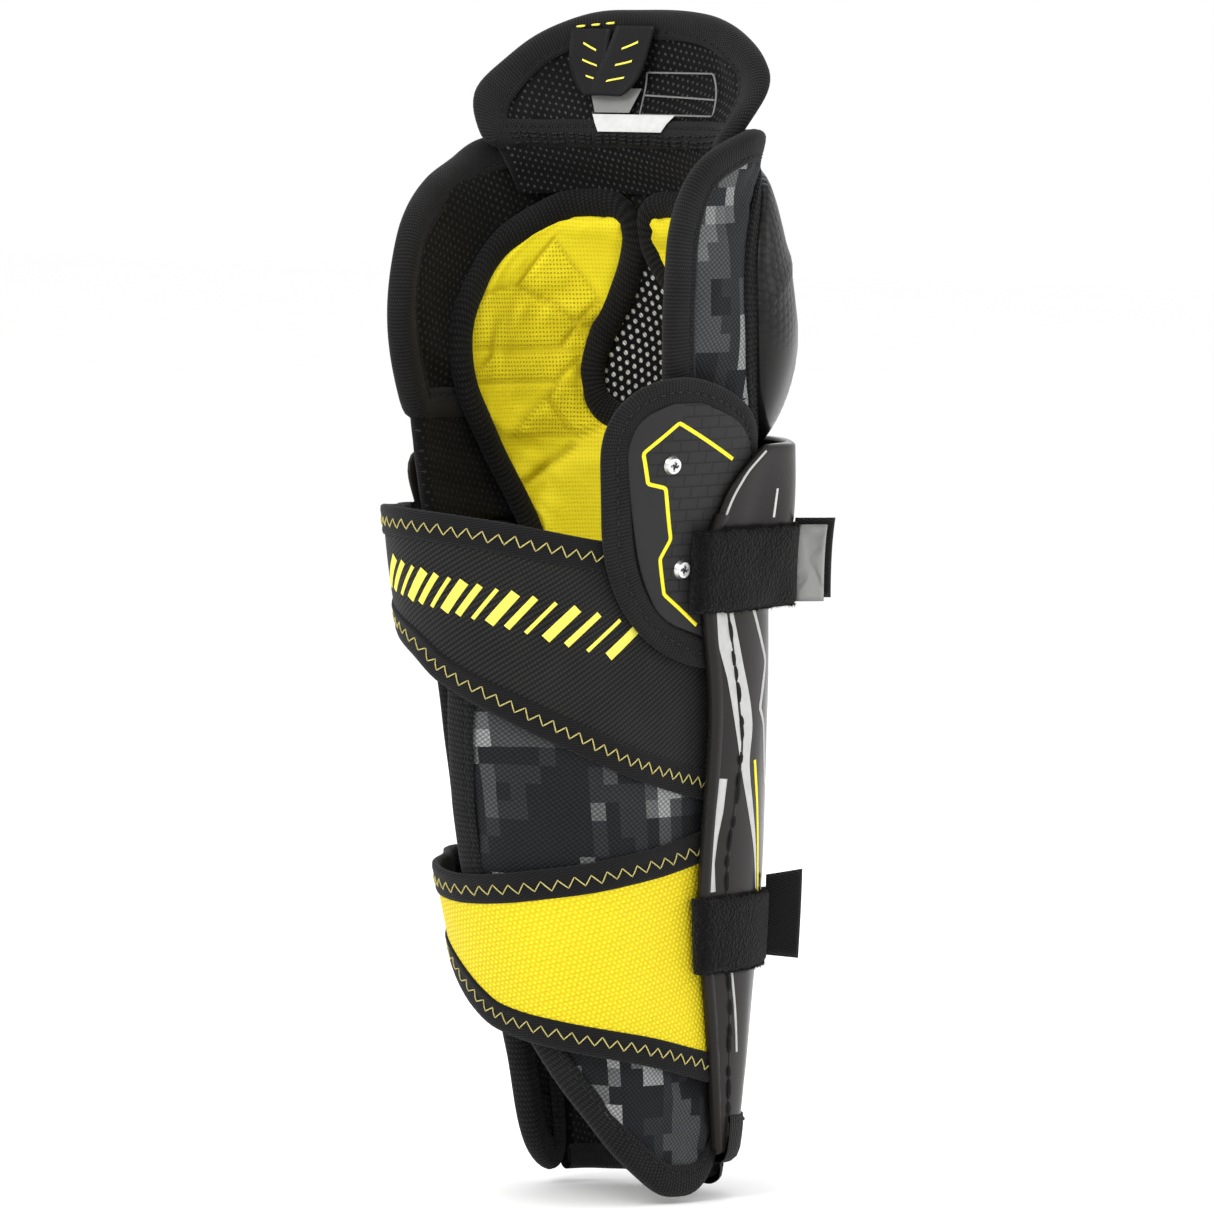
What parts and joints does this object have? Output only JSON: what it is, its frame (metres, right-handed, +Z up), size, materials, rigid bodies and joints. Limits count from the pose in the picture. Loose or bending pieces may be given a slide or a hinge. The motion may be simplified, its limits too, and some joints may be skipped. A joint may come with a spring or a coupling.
{
  "type": "hockey shin guard",
  "caption": "Padded leg guard with a hard knee cap and shin shell, a tilting thigh flap, calf wraps and elastic calf straps.",
  "frame": {"origin": "centre of the leg space at the guard's lowest edge", "axes": "+Z up along the leg, -Y towards the shin and knee cap, +Y towards the calf, -X towards the outer side of a right leg, +X towards its inner side"},
  "size_m": [0.1263, 0.1403, 0.3665],
  "materials": {
    "shell_plastic": "gloss",
    "wing_plastic": "satin",
    "foam": "matte",
    "mesh_fabric": "matte",
    "black_tape": "matte",
    "loop_tape": "matte",
    "camo_fabric": "matte",
    "black_elastic": "matte",
    "yellow_elastic": "matte",
    "yellow_pad": "matte",
    "silver_label": "satin",
    "steel": "satin"
  },
  "bodies": {
    "shin": {"shin_shell": "shell_plastic", "shell_lower_binding": "black_tape", "shin_foam": "foam", "shin_liner": "mesh_fabric", "shin_pad": "yellow_pad", "knee_gusset": "mesh_fabric", "upper_loop_patch": "loop_tape", "lower_loop_patch": "loop_tape", "wing_pad": "black_tape", "wing_plate": "wing_plastic", "wing_screws": "steel", "wing_nuts": "steel", "upper_strap_anchor": "black_elastic", "lower_strap_anchor": "yellow_elastic", "upper_band": "loop_tape", "lower_band": "loop_tape"},
    "knee": {"knee_cap": "shell_plastic", "knee_foam": "foam", "knee_wrap": "camo_fabric", "knee_wrap_binding": "black_tape", "knee_pad_inner": "yellow_pad", "knee_pad_outer": "yellow_pad", "knee_pad_piping": "black_tape", "thigh_gusset": "mesh_fabric"},
    "thigh": {"thigh_liner": "mesh_fabric", "thigh_insert": "wing_plastic", "thigh_cover": "camo_fabric", "thigh_binding": "black_tape", "size_label": "silver_label"},
    "loop": {"pull_loop": "black_tape"},
    "outer_wrap": {"outer_calf_wrap": "camo_fabric", "outer_wrap_binding": "black_tape"},
    "inner_wrap": {"inner_calf_wrap": "mesh_fabric", "inner_wrap_binding": "black_tape"},
    "upper_calf_strap": {"upper_strap": "black_elastic", "upper_strap_hems": "black_tape", "upper_hook_tab": "loop_tape"},
    "lower_calf_strap": {"lower_strap": "yellow_elastic", "lower_strap_hems": "black_tape", "lower_hook_tab": "loop_tape"},
    "upper_tab": {"upper_band_hook": "loop_tape", "upper_band_grip": "silver_label"},
    "lower_tab": {"lower_band_hook": "loop_tape"}
  },
  "joints": [
    {"name": "knee_flex", "type": "hinge", "parent": "shin", "child": "knee", "pos_m": [0, -0.01, 0.238], "axis": [1, 0, 0], "range_deg": [-3, 7], "stiffness_Nm_per_rad": 8, "deforming": ["knee_gusset"]},
    {"name": "thigh_tilt", "type": "hinge", "parent": "knee", "child": "thigh", "pos_m": [0, -0.0284, 0.328], "axis": [1, 0, 0], "range_deg": [-1, 50], "stiffness_Nm_per_rad": 0.6, "deforming": ["thigh_gusset"]},
    {"name": "loop_swing", "type": "hinge", "parent": "thigh", "child": "loop", "pos_m": [0, -0.0228, 0.3613], "axis": [1, 0, 0], "range_deg": [0, 70]},
    {"name": "outer_wrap_flex", "type": "hinge", "parent": "shin", "child": "outer_wrap", "pos_m": [-0.0312, -0.0165, 0.114], "axis": [-0.044, 0.026, 0.9987], "range_deg": [-12, 0], "stiffness_Nm_per_rad": 1.2},
    {"name": "inner_wrap_flex", "type": "hinge", "parent": "shin", "child": "inner_wrap", "pos_m": [0.0339, -0.0165, 0.113], "axis": [0.073, 0.025, 0.997], "range_deg": [0, 12], "stiffness_Nm_per_rad": 0.8},
    {"name": "upper_strap_swing", "type": "hinge", "parent": "shin", "child": "upper_calf_strap", "pos_m": [-0.0333, 0.0486, 0.1805], "axis": [-0.045, 0.125, 0.9911], "range_deg": [0, 100]},
    {"name": "lower_strap_swing", "type": "hinge", "parent": "shin", "child": "lower_calf_strap", "pos_m": [-0.0392, 0.008, 0.0765], "axis": [-0.031, 0.131, 0.9909], "range_deg": [0, 95]},
    {"name": "upper_tab_peel", "type": "hinge", "parent": "shin", "child": "upper_tab", "pos_m": [-0.0434, -0.0425, 0.198], "axis": [-0.2531, -0.118, 0.9602], "range_deg": [-25, 35]},
    {"name": "lower_tab_peel", "type": "hinge", "parent": "shin", "child": "lower_tab", "pos_m": [-0.0355, -0.0414, 0.0865], "axis": [-0.039, -0.069, 0.9969], "range_deg": [-30, 35]}
  ]
}
